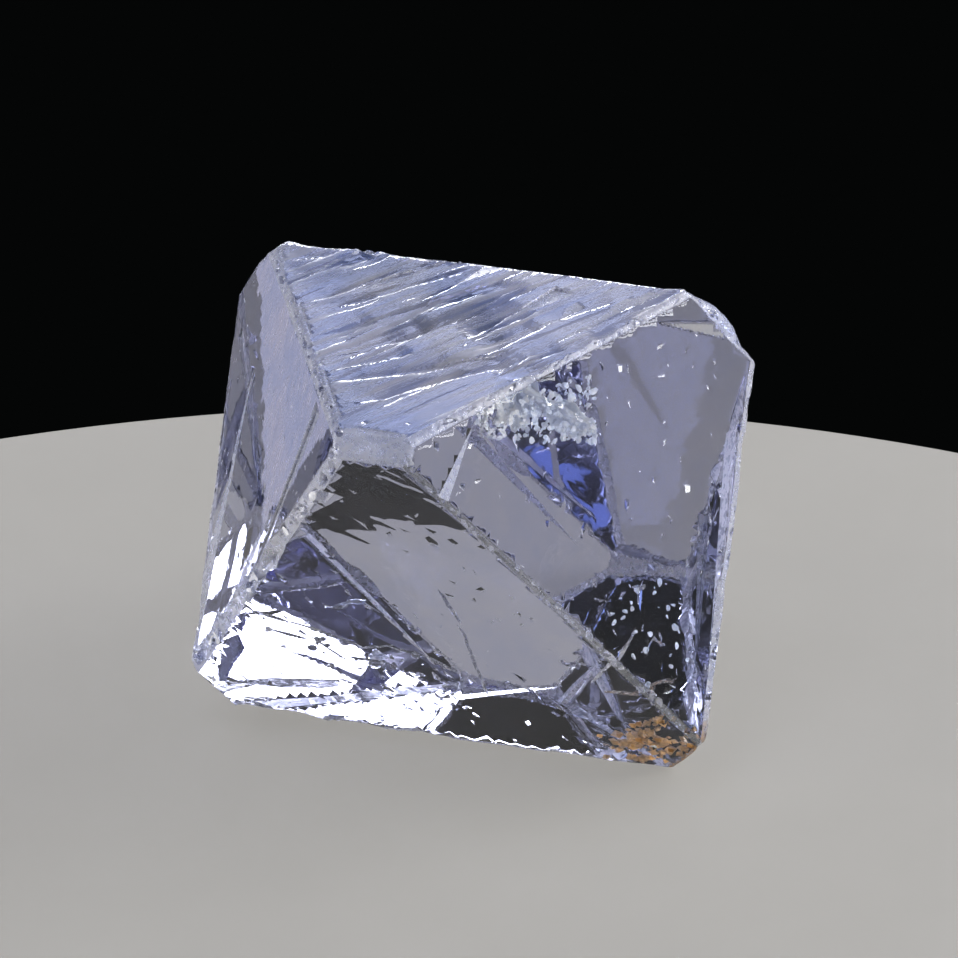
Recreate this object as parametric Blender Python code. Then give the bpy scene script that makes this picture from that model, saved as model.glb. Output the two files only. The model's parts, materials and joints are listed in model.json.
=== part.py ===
"""A cleaved fluorite octahedron, modelled the way the real one is made.

Fluorite splits cleanly along four directions, which give eight flat faces 70.5 degrees apart.
A blank is split along those eight faces, its edges are worn down, its tips are broken back,
and then shallow cleavage ledges and shell-shaped chips are cut out of it.
Lengths are in millimetres up to the last step. +Z is up, and the crystal stands on the face
named rest, with the origin on that face, straight below the crystal's centre. +X is to the
right of someone who faces the tip between the faces top and front_lower, and +Y is away.
"""

import math
import random

import bmesh
import bpy
from mathutils import Matrix, Vector

NAME = "fluorite_octahedron"
MM = 0.001

# The eight cleavage faces: (compass angle, tilt of the outward normal, distance from the centre).
# The tilt between the faces of an octahedron that rests on one of them is asin(1/3).
TILT = math.degrees(math.asin(1 / 3))
FACES = {
    "top": (0.0, 90.0, 9.10),
    "front_right": (-30.0, TILT, 8.45),
    "front_left": (-150.0, TILT, 8.65),
    "back_upper": (90.0, TILT, 6.20),
    "front_lower": (-90.0, -TILT, 6.45),
    "back_right": (30.0, -TILT, 8.90),
    "back_left": (150.0, -TILT, 8.75),
    "rest": (0.0, -90.0, 8.80),
}
BLANK_SIDE = 60.0

# The edges, as pairs of faces, with the width that wear has taken off each.
WORN_EDGES = {
    ("top", "front_right"): 0.22,
    ("top", "front_left"): 0.30,
    ("top", "back_upper"): 0.26,
    ("front_right", "front_lower"): 0.20,
    ("front_left", "front_lower"): 0.42,
    ("front_right", "back_upper"): 0.40,
    ("front_left", "back_upper"): 0.45,
    ("front_right", "back_right"): 0.24,
    ("front_left", "back_left"): 0.26,
    ("back_upper", "back_right"): 0.24,
    ("back_upper", "back_left"): 0.26,
    ("back_upper", "rest"): 0.34,
    ("front_lower", "back_right"): 0.36,
    ("front_lower", "back_left"): 0.32,
    ("rest", "front_lower"): 0.36,
    ("rest", "back_right"): 0.30,
    ("rest", "back_left"): 0.34,
}
WEAR_LEAN = 1.2  # degrees that a worn edge leans along its length, so that its width varies

# The broken tips: (compass angle, height angle, depth of the break below the sharp tip).
TIP_BREAKS = (
    (-90.0, 49.0, 0.72),
    (-114.0, 38.0, 0.50),
    (-68.0, 37.0, 0.40),
    (23.0, 27.0, 0.24),
    (26.0, 47.0, 0.14),
    (156.0, 45.0, 0.56),
    (160.0, 28.0, 0.34),
    (-24.0, -29.0, 0.30),
    (-27.0, -42.0, 0.52),
    (-157.0, -28.0, 0.22),
    (-160.0, -44.0, 0.20),
    (97.0, -40.0, 0.45),
    (78.0, -30.0, 0.35),
)

# Cleavage ledges: face, start and end of the step on that face, width and depth. The step runs
# from its start, where its height is nothing, to its end, where it is as high as the depth.
# A positive width lies to the right of the step's direction, seen from outside, and a negative
# one to the left.
LEDGES = (
    ("top", (-6.9, 0.7), (-4.9, 3.4), 1.38, 0.16),
    ("top", (-6.0, -1.1), (-0.9, 3.8), 1.12, 0.15),
    ("top", (-5.6, -1.7), (0.1, 3.8), 0.75, 0.11),
    ("top", (-4.0, -2.0), (1.6, 3.9), -0.69, 0.12),
    ("top", (-4.8, -3.4), (1.0, 2.3), 1.19, 0.13),
    ("top", (-2.8, -4.9), (2.3, 1.6), -1.25, 0.17),
    ("top", (-3.7, -6.2), (2.6, -2.8), 1.06, 0.13),
    ("top", (1.0, -2.5), (3.3, 2.2), 1.00, 0.17),
    ("top", (-1.7, -7.4), (3.2, -3.4), -0.88, 0.12),
    ("top", (1.6, -3.8), (4.8, 1.0), -0.75, 0.11),
    ("top", (2.5, -4.6), (7.8, 3.3), -0.81, 0.13),
    ("top", (4.5, -2.9), (9.3, 4.2), -0.62, 0.12),
    ("top", (0.3, 0.5), (2.7, 4.1), 0.62, 0.10),
    ("front_right", (-4.0, 6.4), (-9.5, 2.2), -1.10, 0.16),
    ("front_right", (6.7, -5.9), (9.0, 1.4), 0.90, 0.26),
    ("front_right", (1.2, -10.1), (4.3, -4.4), 0.80, 0.18),
    ("front_left", (-4.4, 3.0), (-1.6, -8.0), 1.30, 0.20),
    ("front_left", (2.1, -6.1), (4.0, 5.7), 0.80, 0.18),
    ("front_lower", (6.7, -6.4), (2.2, -9.0), -1.20, 0.42),
    ("back_upper", (-8.6, 4.9), (-1.2, 7.0), -0.80, 0.24),
    ("back_upper", (8.4, 4.8), (1.0, 7.1), 0.70, 0.20),
    ("back_right", (-6.0, -4.0), (1.2, 3.8), -1.10, 0.34),
    ("back_right", (-2.4, -6.2), (5.4, -2.0), 1.30, 0.30),
    ("back_right", (1.2, 0.8), (6.0, -6.6), -0.80, 0.24),
    ("back_left", (-6.2, -5.4), (0.4, 6.4), -0.90, 0.24),
    ("back_left", (2.0, 6.2), (7.6, -3.4), -0.90, 0.22),
)
LEDGE_OVERRUN = 1.02  # a ledge's cutter runs this much past the end of the step
LEDGE_SPARE_WIDTH = 1.5  # and is this much wider than the step, on the side that falls away
LEDGE_CLEARANCE = 2.5  # and stands this far out of the face

# Chips: the edge, the share of its length, the chip's radius, depth and stretch along the edge.
CHIPS = (
    ("top", "back_upper", 0.12, 2.2, 0.20, 1.6),
    ("top", "back_upper", 0.27, 1.4, 0.15, 1.3),
    ("top", "back_upper", 0.44, 1.8, 0.16, 1.5),
    ("top", "back_upper", 0.63, 2.0, 0.26, 1.4),
    ("top", "back_upper", 0.86, 2.6, 0.22, 1.5),
    ("front_right", "back_upper", 0.55, 2.0, 0.12, 1.2),
    ("front_right", "back_right", 0.18, 1.6, 0.14, 1.6),
    ("front_right", "back_right", 0.43, 1.2, 0.13, 1.5),
    ("front_right", "back_right", 0.63, 1.5, 0.18, 1.4),
    ("front_right", "back_right", 0.86, 1.3, 0.16, 1.5),
    ("rest", "front_lower", 0.10, 2.2, 0.30, 1.4),
    ("rest", "front_lower", 0.24, 1.9, 0.26, 1.5),
    ("rest", "front_lower", 0.40, 1.7, 0.22, 1.4),
    ("rest", "front_lower", 0.56, 2.3, 0.32, 1.5),
    ("rest", "front_lower", 0.72, 2.0, 0.40, 1.3),
    ("rest", "front_lower", 0.86, 1.9, 0.60, 1.2),
    ("rest", "front_lower", 0.95, 1.3, 0.50, 1.1),
    ("front_lower", "back_right", 0.30, 1.1, 0.34, 1.0),
    ("front_lower", "back_right", 0.75, 1.4, 0.46, 1.0),
    ("front_left", "back_left", 0.20, 1.7, 0.18, 1.5),
    ("front_left", "back_left", 0.52, 1.9, 0.22, 1.5),
    ("front_left", "back_left", 0.80, 1.4, 0.16, 1.6),
    ("front_left", "front_lower", 0.34, 1.8, 0.30, 1.7),
    ("front_left", "front_lower", 0.55, 2.2, 0.36, 1.8),
    ("front_right", "front_lower", 0.68, 1.2, 0.14, 1.7),
    ("top", "front_left", 0.40, 1.6, 0.18, 1.7),
    ("top", "front_right", 0.58, 1.2, 0.14, 1.6),
    ("rest", "back_right", 0.25, 2.1, 0.30, 1.4),
    ("rest", "back_right", 0.62, 1.8, 0.34, 1.5),
    ("rest", "back_left", 0.30, 2.0, 0.20, 1.4),
    ("rest", "back_left", 0.70, 2.4, 0.22, 1.3),
    ("back_upper", "back_right", 0.55, 1.8, 0.26, 1.5),
    ("back_upper", "back_left", 0.40, 2.0, 0.26, 1.4),
)
CHIP_DETAIL = 3  # subdivisions of the rounded cutter behind each chip
CHIP_UNEVENNESS = 0.012  # how far its points stray, as a share of its radius
CHIP_LEAN = 0.35  # radians that it leans towards one of the two faces, at most
CHIP_WIDTH = 0.8  # its size across the edge, as a share of its radius

SAME_DIRECTION = 1e-6  # below this slope, an edge counts as parallel to a face
ON_PLANE = 1e-5
FLUORITE_COLOUR = (0.52, 0.54, 0.74, 1.0)
FLUORITE_IOR = 1.434


def direction(compass, height):
    """The unit vector at a compass angle, counted from +X towards +Y, and a height angle."""
    flat = math.cos(math.radians(height))
    return Vector((
        flat * math.cos(math.radians(compass)),
        flat * math.sin(math.radians(compass)),
        math.sin(math.radians(height)),
    ))


def face_frame(face):
    """A face's centre with its axes: u level, v up the face, and the outward normal, in columns."""
    compass, tilt, distance = FACES[face]
    normal = direction(compass, tilt)
    u = Vector((1, 0, 0)) if abs(tilt) == 90 else direction(compass + 90, 0)
    v = normal.cross(u)
    frame = Matrix((u, v, normal)).transposed().to_4x4()
    return Matrix.Translation(normal * distance) @ frame


def split(bm, point, normal):
    """Splits the crystal along a plane and drops what lies beyond it."""
    bmesh.ops.bisect_plane(
        bm,
        geom=bm.verts[:] + bm.edges[:] + bm.faces[:],
        dist=ON_PLANE,
        plane_co=point,
        plane_no=normal,
        clear_outer=True,
    )
    open_edges = [edge for edge in bm.edges if edge.is_boundary]
    if open_edges:
        bmesh.ops.edgeloop_fill(bm, edges=open_edges)


def edge_ends(face_a, face_b):
    """Where the sharp edge between two faces starts and ends, clipped by the other faces."""
    normals = {face: direction(*FACES[face][:2]) for face in FACES}
    along = normals[face_a].cross(normals[face_b]).normalized()
    rows = Matrix((normals[face_a], normals[face_b], along))
    middle = rows.inverted() @ Vector((FACES[face_a][2], FACES[face_b][2], 0))
    low, high = -BLANK_SIDE, BLANK_SIDE
    for face, normal in normals.items():
        if face in (face_a, face_b):
            continue
        slope = normal.dot(along)
        room = FACES[face][2] - normal.dot(middle)
        if slope > SAME_DIRECTION:
            high = min(high, room / slope)
        elif slope < -SAME_DIRECTION:
            low = max(low, room / slope)
    return middle + along * low, middle + along * high


def edge_normal(face_a, face_b):
    """The outward direction half way between two faces."""
    return (direction(*FACES[face_a][:2]) + direction(*FACES[face_b][:2])).normalized()


def add_object(name, bm, collection):
    """A closed mesh object with its faces pointing out."""
    bm.normal_update()
    bmesh.ops.recalc_face_normals(bm, faces=bm.faces)
    mesh = bpy.data.meshes.new(name)
    bm.to_mesh(mesh)
    bm.free()
    made = bpy.data.objects.new(name, mesh)
    collection.objects.link(made)
    return made


def wear_edge(bm, face_a, face_b, width, lean):
    """Takes a narrow bevel off an edge, a little wider at one end than at the other."""
    start, end = edge_ends(face_a, face_b)
    outward = edge_normal(face_a, face_b)
    half_angle = direction(*FACES[face_a][:2]).angle(outward)
    depth = width / 2 * math.tan(half_angle)
    across = (end - start).normalized().cross(outward)
    normal = Matrix.Rotation(math.radians(lean), 3, across) @ outward
    split(bm, (start + end) / 2 - outward * depth, normal)


def cleave_blank(collection):
    """The crystal as one convex solid: its cleavage faces, worn edges and broken tips."""
    wear = random.Random(11)
    bm = bmesh.new()
    bmesh.ops.create_cube(bm, size=BLANK_SIDE)
    for compass, tilt, distance in FACES.values():
        normal = direction(compass, tilt)
        split(bm, normal * distance, normal)
    sharp_tips = [vert.co.copy() for vert in bm.verts]
    for (face_a, face_b), width in WORN_EDGES.items():
        wear_edge(bm, face_a, face_b, width, wear.uniform(-WEAR_LEAN, WEAR_LEAN))
    for compass, height, depth in TIP_BREAKS:
        normal = direction(compass, height)
        reach = max(tip.dot(normal) for tip in sharp_tips)
        split(bm, normal * (reach - depth), normal)
    return add_object(NAME, bm, collection)


def ledge_cutter(index, face, start, end, width, depth, collection):
    """A box with its floor tilted, so that it cuts a step that rises from nothing."""
    start, end = Vector((*start, 0)), Vector((*end, 0))
    along = (end - start).normalized()
    length = (end - start).length
    across = Vector((along.y, -along.x, 0)) * math.copysign(1, width)
    rise = Vector((0, 0, depth))
    floor_along = (along * length - rise).normalized() * length * LEDGE_OVERRUN
    floor_across = (across * abs(width) + rise).normalized() * abs(width) * LEDGE_SPARE_WIDTH
    floor_normal = floor_along.cross(floor_across).normalized()
    if floor_normal.z < 0:
        floor_normal.negate()
    bm = bmesh.new()
    bmesh.ops.create_cube(bm, size=1.0)
    for vert in bm.verts:
        x, y, z = (value + 0.5 for value in vert.co)
        vert.co = start + floor_along * x + floor_across * y + floor_normal * z * LEDGE_CLEARANCE
    bm.transform(face_frame(face))
    return add_object(f"ledge_cutter_{index:02d}", bm, collection)


def chip_cutter(index, face_a, face_b, share, radius, depth, stretch, collection):
    """A rounded, slightly uneven lump that cuts a shell-shaped chip out of an edge."""
    start, end = edge_ends(face_a, face_b)
    outward = edge_normal(face_a, face_b)
    along = (end - start).normalized()
    across = outward.cross(along)
    shape = random.Random(100 + index)
    bm = bmesh.new()
    bmesh.ops.create_icosphere(bm, subdivisions=CHIP_DETAIL, radius=radius)
    for vert in bm.verts:
        vert.co *= 1 + shape.uniform(-CHIP_UNEVENNESS, CHIP_UNEVENNESS)
    lean = Matrix.Rotation(shape.uniform(-CHIP_LEAN, CHIP_LEAN), 4, along)
    axes = Matrix((along * stretch, across * CHIP_WIDTH, outward)).transposed().to_4x4()
    centre = start.lerp(end, share) + outward * (radius - depth)
    bm.transform(Matrix.Translation(centre) @ lean @ axes)
    return add_object(f"chip_cutter_{index:02d}", bm, collection)


def fluorite_material():
    """Clear, faintly violet fluorite."""
    material = bpy.data.materials.new("fluorite_clear_violet")
    material.use_nodes = True
    shader = material.node_tree.nodes["Principled BSDF"]
    shader.inputs["Base Color"].default_value = FLUORITE_COLOUR
    shader.inputs["Metallic"].default_value = 0.0
    shader.inputs["Roughness"].default_value = 0.08
    shader.inputs["IOR"].default_value = FLUORITE_IOR
    shader.inputs["Transmission Weight"].default_value = 0.9
    return material


def main():
    for old in list(bpy.data.objects):
        bpy.data.objects.remove(old)
    crystal_parts = bpy.data.collections.new(NAME)
    cutters = bpy.data.collections.new("cutters")
    for collection in (crystal_parts, cutters):
        bpy.context.scene.collection.children.link(collection)
    crystal = cleave_blank(crystal_parts)
    for index, ledge in enumerate(LEDGES):
        ledge_cutter(index, *ledge, cutters)
    for index, chip in enumerate(CHIPS):
        chip_cutter(index, *chip, cutters)
    to_world = Matrix.Scale(MM, 4) @ Matrix.Translation((0, 0, FACES["rest"][2]))
    for made in [crystal, *cutters.objects]:
        made.data.transform(to_world)
    for cutter in cutters.objects:
        cutter.hide_render = True
        cutter.display_type = "WIRE"
    breaks = crystal.modifiers.new("ledges_and_chips", "BOOLEAN")
    breaks.operation = "DIFFERENCE"
    breaks.operand_type = "COLLECTION"
    breaks.collection = cutters
    breaks.solver = "EXACT"
    crystal.data.materials.append(fluorite_material())


main()
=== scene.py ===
# %% [markdown]
# # A cleaved fluorite octahedron
# The object is one clear, faintly violet crystal of fluorite that was split to shape by hand.
# It stands on one of its eight faces on a round pale plate, with black behind it. The packed
# CAD model gives its size and place, and everything here is built around that model.

# %% Load the CAD model
import itertools
import json
import math

import bmesh
import bpy
import numpy as np
from mathutils import Matrix, Vector
from mathutils.bvhtree import BVHTree

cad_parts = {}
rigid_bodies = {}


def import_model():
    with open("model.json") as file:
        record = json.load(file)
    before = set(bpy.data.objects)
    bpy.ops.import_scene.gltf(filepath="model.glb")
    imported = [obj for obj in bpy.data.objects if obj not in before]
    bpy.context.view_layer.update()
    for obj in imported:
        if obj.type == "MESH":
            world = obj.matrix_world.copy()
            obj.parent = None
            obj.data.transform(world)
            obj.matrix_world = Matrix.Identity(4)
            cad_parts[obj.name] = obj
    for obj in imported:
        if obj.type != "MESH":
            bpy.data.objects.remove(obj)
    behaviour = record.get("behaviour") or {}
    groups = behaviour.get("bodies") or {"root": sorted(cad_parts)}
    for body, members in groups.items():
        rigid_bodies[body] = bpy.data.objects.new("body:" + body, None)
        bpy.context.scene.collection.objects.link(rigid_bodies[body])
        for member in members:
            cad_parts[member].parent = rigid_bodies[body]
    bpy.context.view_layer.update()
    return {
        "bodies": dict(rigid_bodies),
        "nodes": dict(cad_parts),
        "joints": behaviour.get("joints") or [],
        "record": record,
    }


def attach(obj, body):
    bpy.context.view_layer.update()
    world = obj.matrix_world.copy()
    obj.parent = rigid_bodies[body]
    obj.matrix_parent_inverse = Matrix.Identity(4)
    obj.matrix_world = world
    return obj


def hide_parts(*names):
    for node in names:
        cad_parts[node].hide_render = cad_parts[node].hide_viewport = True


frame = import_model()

MM = 0.001
NODE = "fluorite_octahedron"

# %% [markdown]
# ## Small helpers
# Two things come back in every step. Colours are easiest to read as sRGB hex values, but
# shaders work with linear light, so one function turns the first into the second. And a
# material is a tree of nodes, so one function adds a node with its settings and links.


# %% Helpers
def linear(hex_colour):
    """An sRGB hex colour as the linear RGBA that a shader takes."""
    channels = [int(hex_colour[i:i + 2], 16) / 255 for i in (1, 3, 5)]
    return tuple(c / 12.92 if c <= 0.04045 else ((c + 0.055) / 1.055) ** 2.4 for c in channels) + (1.0,)


def add_node(tree, kind, inputs=None, **settings):
    """Adds a node, and fills its inputs with values or with other nodes' output sockets."""
    node = tree.nodes.new(kind)
    for name, value in settings.items():
        setattr(node, name, value)
    for key, value in (inputs or {}).items():
        if isinstance(value, bpy.types.NodeSocket):
            tree.links.new(value, node.inputs[key])
        else:
            node.inputs[key].default_value = value
    return node


def link_object(name, data):
    """An object for this mesh, light or camera, linked to the scene."""
    made = bpy.data.objects.new(name, data)
    bpy.context.scene.collection.objects.link(made)
    return made


# %% [markdown]
# ## The plate
# The crystal stands on a flat round plate that is lit from below as well as from above, so
# its underside gets light too, and there is no dark shadow under it. A disc with a soft
# glow of its own gives that.

# %% Make the plate
PLATE_CENTRE = (6.9, -47.7)
PLATE_RADIUS = 68.8
PLATE_CLOUD = 9.0  # mm, the size of the faint clouds in its colour
PLATE_DROP = 0.02  # mm that it lies under the crystal, so that the two faces don't coincide

plate_mesh = bpy.data.meshes.new("pale_plate")
bm = bmesh.new()
bmesh.ops.create_circle(bm, cap_ends=True, segments=256, radius=PLATE_RADIUS * MM)
bmesh.ops.translate(bm, verts=bm.verts, vec=Vector((*PLATE_CENTRE, -PLATE_DROP)) * MM)
bm.to_mesh(plate_mesh)
bm.free()
plate = link_object("pale_plate", plate_mesh)

matt = bpy.data.materials.new("opal_glass_plate")
matt.use_nodes = True
plate_shader = matt.node_tree.nodes["Principled BSDF"]
plate_place = add_node(matt.node_tree, "ShaderNodeTexCoord").outputs["Object"]
plate_scale = add_node(matt.node_tree, "ShaderNodeMapping", {
    "Vector": plate_place, "Scale": (PLATE_CLOUD * MM,) * 3}, vector_type="TEXTURE")
plate_clouds = add_node(matt.node_tree, "ShaderNodeTexNoise", {
    "Vector": plate_scale.outputs[0], "Scale": 1.0, "Detail": 4.0, "Roughness": 0.6})
plate_tint = add_node(matt.node_tree, "ShaderNodeMix", {
    0: plate_clouds.outputs["Fac"], 6: linear("#5b5954"), 7: linear("#696762")}, data_type="RGBA")
matt.node_tree.links.new(plate_tint.outputs[2], plate_shader.inputs["Base Color"])
plate_shader.inputs["Roughness"].default_value = 0.8
plate_shader.inputs["Specular IOR Level"].default_value = 0.0
plate_shader.inputs["Emission Color"].default_value = linear("#fffcf8")
plate_shader.inputs["Emission Strength"].default_value = 0.30
plate_mesh.materials.append(matt)
print("plate radius in mm:", PLATE_RADIUS)

# %% [markdown]
# ## The camera
# The crystal is looked at from a little above, from in front and slightly to its right,
# with a long lens.

# %% Set up the camera
VIEW_COMPASS = 20.53  # degrees to the right of straight ahead
VIEW_HEIGHT = 33.80
VIEW_TURN = -4.31
AIM = (2.29, -7.45, 14.12)
DISTANCE = 199.2
LENS = 201.3
SHIFT = (22 / 958, 25 / 958)

compass, height = math.radians(VIEW_COMPASS), math.radians(VIEW_HEIGHT)
towards_camera = Vector((
    math.sin(compass) * math.cos(height),
    -math.cos(compass) * math.cos(height),
    math.sin(height),
))
camera = link_object("camera", bpy.data.cameras.new("camera"))
camera.data.sensor_width = 36
camera.data.lens = LENS
camera.data.shift_x, camera.data.shift_y = SHIFT
camera.data.clip_start, camera.data.clip_end = 0.005, 2.0
turned = (-towards_camera).to_track_quat("-Z", "Y").to_matrix().to_4x4()
turned = turned @ Matrix.Rotation(math.radians(VIEW_TURN), 4, "Z")
camera.matrix_world = Matrix.Translation((Vector(AIM) + towards_camera * DISTANCE) * MM) @ turned
bpy.context.scene.camera = camera
print("camera at, in mm:", [round(x / MM, 1) for x in camera.location])

# %% [markdown]
# ## The lights
# Clear crystal shows what stands behind and beside it, bent and mirrored by its faces. So
# soft boxes stand all round: a large one behind, strips at the sides, and one low in front,
# which shines back out of the lower left. The room itself is dark.

# %% Set up the lights
# Each light: compass angle from straight behind towards the right, height, distance, width,
# height of the box, how bright its surface is, and its colour.
LIGHTS = {
    "strip_left_low": (255, 4.5, 300, 78, 46, 62.0, "#ffffff"),
    "strip_back_left_low": (341, 4.5, 300, 120, 46, 26.0, "#f4f6ff"),
    "strip_back_right": (67, 14.5, 300, 150, 56, 20.0, "#ffffff"),
    "box_left": (285, 14.5, 300, 78, 56, 8.0, "#e8ecff"),
    "box_behind": (40, 41, 300, 130, 110, 4.6, "#e8ecff"),
    "box_back_left": (340, 33, 300, 74, 104, 3.0, "#d0daff"),
    "box_back_blue": (320, 42, 300, 100, 84, 1.1, "#a2b9f8"),
    "box_above": (240, 79, 300, 150, 150, 3.4, "#dfe6ff"),
    "box_front_right": (150, 14.5, 300, 78, 56, 3.0, "#ffffff"),
    "strip_front_low": (150, 4.5, 300, 86, 46, 45.0, "#ffffff"),
    "box_right": (79, 27, 300, 110, 76, 9.5, "#ffffff"),
    "box_right_high": (60, 42, 300, 90, 84, 8.0, "#f4f6ff"),
}
CRYSTAL_MIDDLE = Vector((0, 0, 8.9)) * MM


def area_light(name, compass, height, distance, wide, high, radiance, colour):
    """A soft box that faces the crystal. Its power follows from how bright its surface is."""
    flat = math.cos(math.radians(height))
    way = Vector((
        math.sin(math.radians(compass)) * flat,
        math.cos(math.radians(compass)) * flat,
        math.sin(math.radians(height)),
    ))
    light = bpy.data.lights.new(name, "AREA")
    light.shape = "RECTANGLE"
    light.size, light.size_y = wide * MM, high * MM
    light.energy = 4 * radiance * wide * high * MM * MM
    light.color = linear(colour)[:3]
    made = link_object(name, light)
    made.matrix_world = Matrix.Translation(CRYSTAL_MIDDLE + way * distance * MM) @ (
        way.to_track_quat("Z", "Y").to_matrix().to_4x4())
    made.visible_camera = False
    return made


for name, values in LIGHTS.items():
    area_light(name, *values)

world = bpy.data.worlds.new("dark_room")
world.use_nodes = True
world.node_tree.nodes["Background"].inputs["Color"].default_value = linear("#050606")
world.node_tree.nodes["Background"].inputs["Strength"].default_value = 1.0
bpy.context.scene.world = world
bpy.context.scene.view_settings.view_transform = "Standard"
cycles = bpy.context.scene.cycles
cycles.max_bounces = 12
cycles.transmission_bounces = 12
cycles.glossy_bounces = 10
cycles.transparent_max_bounces = 8
cycles.sample_clamp_indirect = 12.0
cycles.use_adaptive_sampling = True
cycles.adaptive_threshold = 0.1
cycles.adaptive_min_samples = 16
print("lights:", len(LIGHTS))

# %% [markdown]
# ## The crystal's flat faces
# Fluorite splits along four directions, which make the eight faces of an octahedron. The
# CAD model holds those faces, so each one's plane is measured on a merged copy of the
# model's mesh: for each of the eight directions, the plane goes through the furthest point.

# %% Measure the faces
TILT = math.degrees(math.asin(1 / 3))
CENTRE = Vector((0, 0, 8.8))  # mm, the crystal's centre
FACES = {
    "top": (0.0, 90.0),
    "front_right": (-30.0, TILT),
    "front_left": (-150.0, TILT),
    "back_upper": (90.0, TILT),
    "front_lower": (-90.0, -TILT),
    "back_right": (30.0, -TILT),
    "back_left": (150.0, -TILT),
    "rest": (0.0, -90.0),
}


def merged_copy(node):
    """A copy of a CAD node's mesh in mm with its loose triangles joined up."""
    bm = bmesh.new()
    bm.from_mesh(frame["nodes"][node].data)
    bmesh.ops.scale(bm, verts=bm.verts, vec=(1 / MM,) * 3)
    bmesh.ops.remove_doubles(bm, verts=bm.verts, dist=0.0005)
    return bm


cad = merged_copy(NODE)
corners = np.array([vert.co[:] for vert in cad.verts])


def face_frame(face):
    """A face's centre with its axes in columns: u level, v up the face, and the outward normal."""
    angle, tilt = (math.radians(value) for value in FACES[face])
    normal = Vector((math.cos(tilt) * math.cos(angle), math.cos(tilt) * math.sin(angle), math.sin(tilt)))
    level = Vector((1, 0, 0)) if abs(normal.z) > 0.99 else Vector((-math.sin(angle), math.cos(angle), 0))
    distance = (corners @ np.array(normal)).max() - CENTRE.dot(normal)
    axes = Matrix((level, normal.cross(level), normal)).transposed().to_4x4()
    return Matrix.Translation(CENTRE + normal * distance) @ axes


frames = {face: face_frame(face) for face in FACES}
for face, made in frames.items():
    print(face, "is", round((made.translation - CENTRE).length, 2), "mm from the centre")

# %% [markdown]
# ## The fluorite
# Fluorite is a soft, clear mineral with a low refractive index, 1.434. Four kinds of surface
# show on it, all of the same mineral: split faces as clear as glass, a top face streaked by
# the split, a face veiled by fine scratches, and worn edges frosted by countless tiny splits.
# The walls of splits inside are feathered, or bruised white where the splits lie close.
# A faint violet comes from the crystal taking a little red and green out of the light along
# its way, so that colour is in the volume. The veil of scratches scatters blue light most,
# so it is bluish. At one lower tip iron has stained the broken surface brown.

# %% Make the fluorite
FLUORITE_IOR = 1.434
LIGHT_LOST = (0.029, 0.028, 0.016)  # share of red, green and blue lost per mm
CLOUD_SIZE = 3.5                    # mm, of the soft clouds in the surface's colour
STAIN_CENTRE = (8.6, -4.4, 1.2)     # mm
STAIN_REACH = 3.0                   # mm
STAIN_TINTS = ("#6b4c33", "#dba866")


def fluorite_material(name, tints, roughness, clearness, relief, grain, stretch=(1, 1, 1), turn=0.0):
    """Fluorite with a given kind of surface.

    Its colour wanders between two tints and its roughness between two values. Clearness is
    the share of light that goes through. The relief is in mm, and its grain too, which can be
    stretched along x, y and z and then turned about the upright axis.
    """
    material = bpy.data.materials.new(name)
    material.use_nodes = True
    tree = material.node_tree
    shader = tree.nodes["Principled BSDF"]
    place = add_node(tree, "ShaderNodeTexCoord").outputs["Object"]
    laid = add_node(tree, "ShaderNodeMapping", {
        "Vector": place, "Rotation": (0, 0, math.radians(turn)),
        "Scale": tuple(share * grain * MM for share in stretch)}, vector_type="TEXTURE")
    fine = add_node(tree, "ShaderNodeTexNoise", {
        "Vector": laid.outputs[0], "Scale": 1.0, "Detail": 2.0, "Roughness": 0.62})
    apart = add_node(tree, "ShaderNodeMapping", {
        "Vector": place, "Scale": (CLOUD_SIZE * MM,) * 3}, vector_type="TEXTURE")
    clouds = add_node(tree, "ShaderNodeTexNoise", {
        "Vector": apart.outputs[0], "Scale": 1.0, "Detail": 1.0, "Roughness": 0.5})
    both = add_node(tree, "ShaderNodeMath", {
        0: clouds.outputs["Fac"], 1: fine.outputs["Fac"]}, operation="ADD")
    wander = add_node(tree, "ShaderNodeMapRange", {
        "Value": both.outputs[0], "From Min": 0.75, "From Max": 1.25})
    colour = add_node(tree, "ShaderNodeMix", {
        0: wander.outputs[0], 6: linear(tints[0]), 7: linear(tints[1])}, data_type="RGBA")
    rough = add_node(tree, "ShaderNodeMapRange", {
        "Value": fine.outputs["Fac"], "From Min": 0.38, "From Max": 0.66,
        "To Min": roughness[0], "To Max": roughness[1]})
    bump = add_node(tree, "ShaderNodeBump", {
        "Strength": 1.0, "Distance": relief * MM, "Height": fine.outputs["Fac"]})
    tree.links.new(colour.outputs[2], shader.inputs["Base Color"])
    tree.links.new(rough.outputs[0], shader.inputs["Roughness"])
    tree.links.new(bump.outputs[0], shader.inputs["Normal"])
    shader.inputs["IOR"].default_value = FLUORITE_IOR
    shader.inputs["Transmission Weight"].default_value = clearness
    density = max(LIGHT_LOST) / MM / 0.9
    absorption = add_node(tree, "ShaderNodeVolumeAbsorption", {
        "Color": tuple(1 - lost / MM / density for lost in LIGHT_LOST) + (1.0,), "Density": density})
    tree.links.new(absorption.outputs["Volume"], tree.nodes["Material Output"].inputs["Volume"])
    return material


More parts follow.
